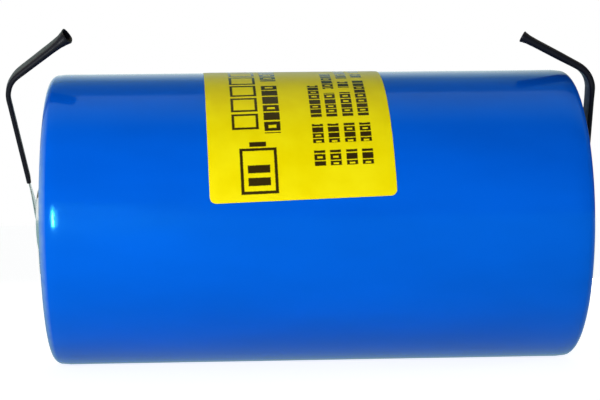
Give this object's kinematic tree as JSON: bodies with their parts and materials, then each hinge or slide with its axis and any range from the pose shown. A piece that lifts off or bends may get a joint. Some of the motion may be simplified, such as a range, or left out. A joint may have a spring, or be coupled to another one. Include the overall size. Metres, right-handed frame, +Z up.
{
  "type": "cylindrical battery cell",
  "caption": "Cylindrical lithium primary cell in a blue shrink jacket with a plain yellow label and a sleeved solder lead bent up at each end.",
  "frame": {"origin": "middle of the jacket's length, on the cell's axis", "axes": "X along the cell: the positive cap is at -X and the negative end at +X; +Z is up, the way the leads stand; -Y is the side the label starts from"},
  "size_m": [0.0669, 0.0334, 0.0378],
  "materials": {
    "shrink_film": "glossy blue heat-shrink film with faint draw ripples",
    "label": "yellow coated paper with plain dark bars",
    "steel_can": "nickel-plated deep-drawn steel",
    "stainless": "stainless steel, laser welded",
    "sealing_glass": "fired sealing glass",
    "fuse_alloy": "dull fuse strip",
    "potting": "cast dark resin",
    "nickel_plate": "nickel-plated pressed steel",
    "fibre_board": "off-white fibre board",
    "glass_mat": "white glass-fibre mat",
    "lithium": "dull soft metal foil",
    "carbon": "pressed carbon sheet",
    "nickel_ribbon": "rolled nickel ribbon",
    "black_sleeve": "satin black insulating tube"
  },
  "bodies": {
    "cell": {"outer_jacket": "shrink_film", "printed_label": "label", "can": "steel_can", "lid": "stainless", "glass_seal": "sealing_glass", "terminal_pin": "stainless", "fill_ball": "stainless", "fill_plug": "stainless", "fuse_link": "fuse_alloy", "potting_ring": "potting", "positive_cap": "nickel_plate", "insulating_washer": "fibre_board", "top_insulator": "glass_mat", "bottom_insulator": "glass_mat", "lithium_anode": "lithium", "anode_tab": "nickel_ribbon", "carbon_cathode": "carbon", "cathode_tab": "nickel_ribbon", "inner_separator": "glass_mat", "outer_separator": "glass_mat", "positive_tab_foot": "nickel_ribbon", "negative_tab_foot": "nickel_ribbon"},
    "positive_lead": {"positive_ribbon_lower": "nickel_ribbon", "positive_sleeve_lower": "black_sleeve"},
    "positive_lead_end": {"positive_ribbon_upper": "nickel_ribbon", "positive_sleeve_upper": "black_sleeve"},
    "negative_lead": {"negative_ribbon_lower": "nickel_ribbon", "negative_sleeve_lower": "black_sleeve"},
    "negative_lead_end": {"negative_ribbon_upper": "nickel_ribbon", "negative_sleeve_upper": "black_sleeve"}
  },
  "joints": [
    {"name": "positive_lead_root", "type": "hinge", "parent": "cell", "child": "positive_lead", "pos_m": [-0.03164, 0, 0], "axis": [0, -0.9239, -0.3827], "range_deg": [-6, 78]},
    {"name": "positive_lead_elbow", "type": "hinge", "parent": "positive_lead", "child": "positive_lead_end", "pos_m": [-0.0339, -0.00626, 0.01511], "axis": [0, -0.9239, -0.3827], "range_deg": [-6, 65]},
    {"name": "negative_lead_root", "type": "hinge", "parent": "cell", "child": "negative_lead", "pos_m": [0.02962, 0, 0], "axis": [0, 0.9781, 0.2079], "range_deg": [-4, 85]},
    {"name": "negative_lead_elbow", "type": "hinge", "parent": "negative_lead", "child": "negative_lead_end", "pos_m": [0.03186, -0.00337, 0.01584], "axis": [0, 0.9781, 0.2079], "range_deg": [-6, 65]}
  ]
}
